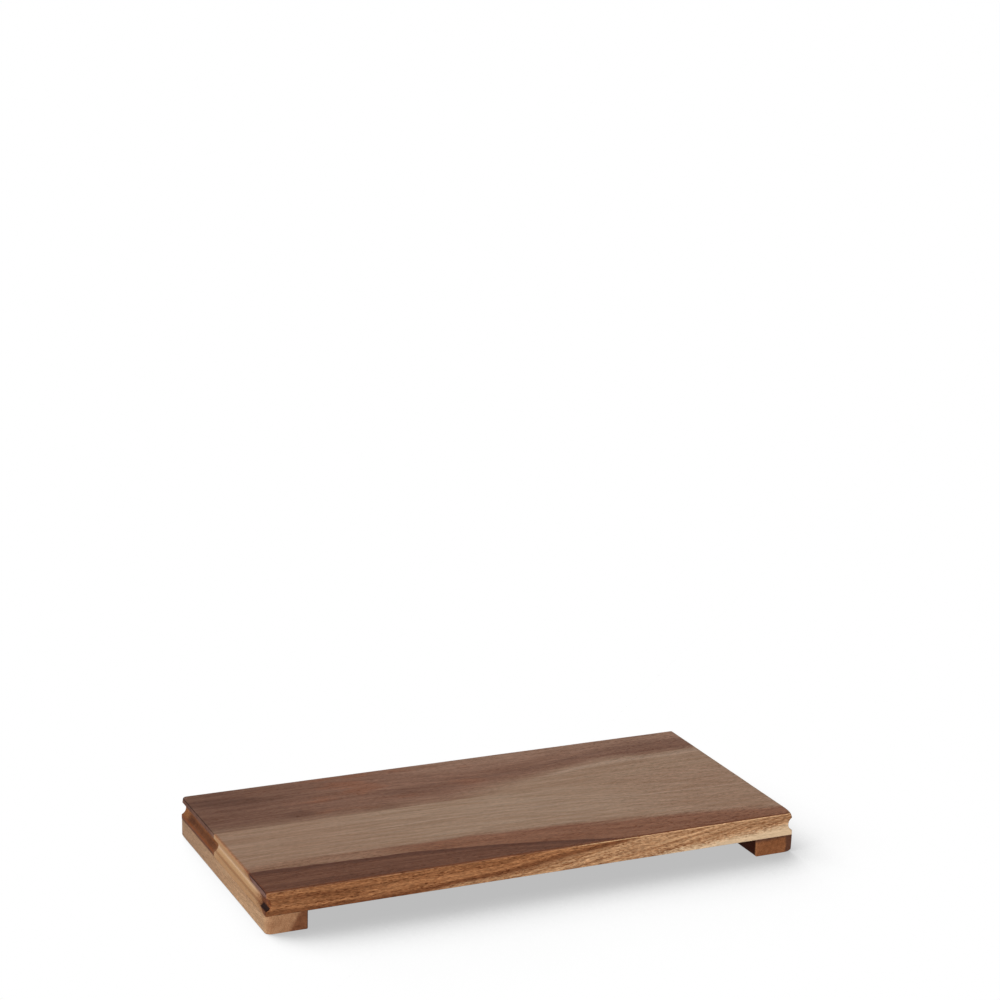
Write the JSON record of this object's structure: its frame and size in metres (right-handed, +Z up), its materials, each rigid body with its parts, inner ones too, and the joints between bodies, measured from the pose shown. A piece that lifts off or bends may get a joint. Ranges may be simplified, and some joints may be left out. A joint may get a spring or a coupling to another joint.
{
  "type": "serving board",
  "caption": "Rectangular wooden serving board of edge-glued staves, with a finger groove along each short end, raised on foot rails screwed on from below.",
  "frame": {"origin": "on the table surface, under the middle of the board", "axes": "+X along the length towards the right end, +Y from the front towards the back, +Z up"},
  "size_m": [0.43, 0.2, 0.032],
  "materials": {
    "back_stave_wood": "oiled dark heartwood",
    "front_stave_wood": "oiled sapwood with a dark heartwood front edge",
    "left_rail_wood": "oiled pale wood",
    "right_rail_wood": "oiled dark wood",
    "screw_steel": "zinc plated"
  },
  "bodies": {
    "root": {"back_stave": "back_stave_wood", "front_stave": "front_stave_wood", "left_foot_rail": "left_rail_wood", "right_foot_rail": "right_rail_wood", "left_front_screw": "screw_steel", "left_back_screw": "screw_steel", "right_front_screw": "screw_steel", "right_back_screw": "screw_steel"}
  },
  "joints": []
}
